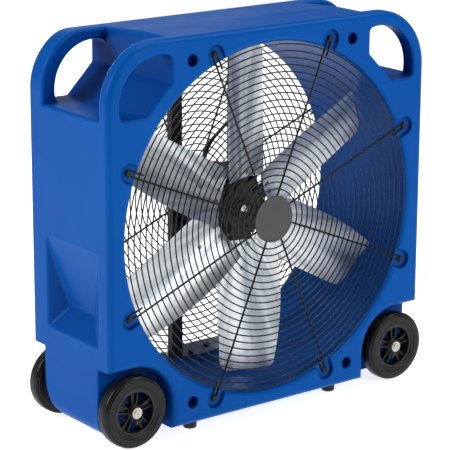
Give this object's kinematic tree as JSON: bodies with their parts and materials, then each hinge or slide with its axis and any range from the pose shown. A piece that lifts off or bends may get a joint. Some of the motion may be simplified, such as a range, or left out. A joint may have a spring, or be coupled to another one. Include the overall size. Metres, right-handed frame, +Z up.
{
  "type": "axial air mover",
  "caption": "Portable axial air mover: blue moulded housing with corner handles and wheels, wire guards, six-blade impeller on a strut-mounted motor.",
  "frame": {"origin": "on the floor under the middle of the housing", "axes": "+X to the right seen from the front, +Y to the rear along the fan's axis, +Z up; air leaves through the front, towards -Y"},
  "size_m": [0.733, 0.2532, 0.715],
  "materials": {
    "housing_blue": "satin moulded",
    "guard_black": "gloss",
    "badge_grey": "satin",
    "fastener_black": "satin",
    "blade_metal": "milled",
    "rivet_metal": "satin",
    "hub_black": "satin",
    "bright_steel": "ground",
    "core_steel": "laminated",
    "carrier_black": "satin",
    "zinc_steel": "galvanised",
    "cap_chrome": "bright",
    "cable_black": "satin",
    "switch_black": "satin",
    "switch_plate_grey": "satin",
    "rim_black": "satin",
    "tyre_rubber": "matt",
    "foot_rubber": "matt"
  },
  "bodies": {
    "housing": {"axle_caps": "cap_chrome", "axle_left": "bright_steel", "axle_right": "bright_steel", "axle_washers": "zinc_steel", "cable_grommet": "cable_black", "cord_gland": "switch_black", "feet": "foot_rubber", "foot_screws": "zinc_steel", "front_badge": "badge_grey", "front_bearing": "bright_steel", "front_guard_rings": "guard_black", "front_guard_screws": "fastener_black", "front_guard_spokes": "guard_black", "housing_shell": "housing_blue", "lower_cross_plate": "zinc_steel", "motor_cable": "cable_black", "motor_can": "carrier_black", "motor_front_bell": "carrier_black", "motor_plate": "carrier_black", "motor_plate_bolts": "fastener_black", "motor_rear_bell": "carrier_black", "motor_screws": "fastener_black", "motor_stator": "core_steel", "rear_bearing": "bright_steel", "rear_guard_disc": "badge_grey", "rear_guard_rings": "guard_black", "rear_guard_screws": "fastener_black", "rear_guard_spokes": "guard_black", "strut_bolts": "fastener_black", "strut_left": "carrier_black", "strut_right": "carrier_black", "switch_body": "switch_black", "switch_plate": "switch_plate_grey", "switch_plate_screws": "fastener_black", "upper_cross_plate": "zinc_steel"},
    "impeller": {"motor_shaft": "bright_steel", "motor_rotor": "core_steel", "hub_spider": "hub_black", "hub_set_screw": "fastener_black", "blade_rivets": "rivet_metal", "blade_1": "blade_metal", "blade_2": "blade_metal", "blade_3": "blade_metal", "blade_4": "blade_metal", "blade_5": "blade_metal", "blade_6": "blade_metal"},
    "wheel_front_right": {"rim_front_right": "rim_black", "tyre_front_right": "tyre_rubber"},
    "wheel_rear_right": {"rim_rear_right": "rim_black", "tyre_rear_right": "tyre_rubber"},
    "wheel_front_left": {"rim_front_left": "rim_black", "tyre_front_left": "tyre_rubber"},
    "wheel_rear_left": {"rim_rear_left": "rim_black", "tyre_rear_left": "tyre_rubber"},
    "knob": {"speed_knob": "switch_black"}
  },
  "joints": [
    {"name": "impeller_spin", "type": "hinge", "parent": "housing", "child": "impeller", "pos_m": [0, 0, 0.366], "axis": [0, 1, 0], "continuous": true},
    {"name": "wheel_front_right_spin", "type": "hinge", "parent": "housing", "child": "wheel_front_right", "pos_m": [0.301, -0.11, 0.0665], "axis": [0, 1, 0], "continuous": true},
    {"name": "wheel_rear_right_spin", "type": "hinge", "parent": "housing", "child": "wheel_rear_right", "pos_m": [0.301, 0.11, 0.0665], "axis": [0, 1, 0], "continuous": true},
    {"name": "wheel_front_left_spin", "type": "hinge", "parent": "housing", "child": "wheel_front_left", "pos_m": [-0.301, -0.11, 0.0665], "axis": [0, 1, 0], "continuous": true},
    {"name": "wheel_rear_left_spin", "type": "hinge", "parent": "housing", "child": "wheel_rear_left", "pos_m": [-0.301, 0.11, 0.0665], "axis": [0, 1, 0], "continuous": true},
    {"name": "speed_knob_turn", "type": "hinge", "parent": "housing", "child": "knob", "pos_m": [0.3565, 0.04, 0.446], "axis": [1, 0, 0], "range_deg": [-90, 0]}
  ]
}
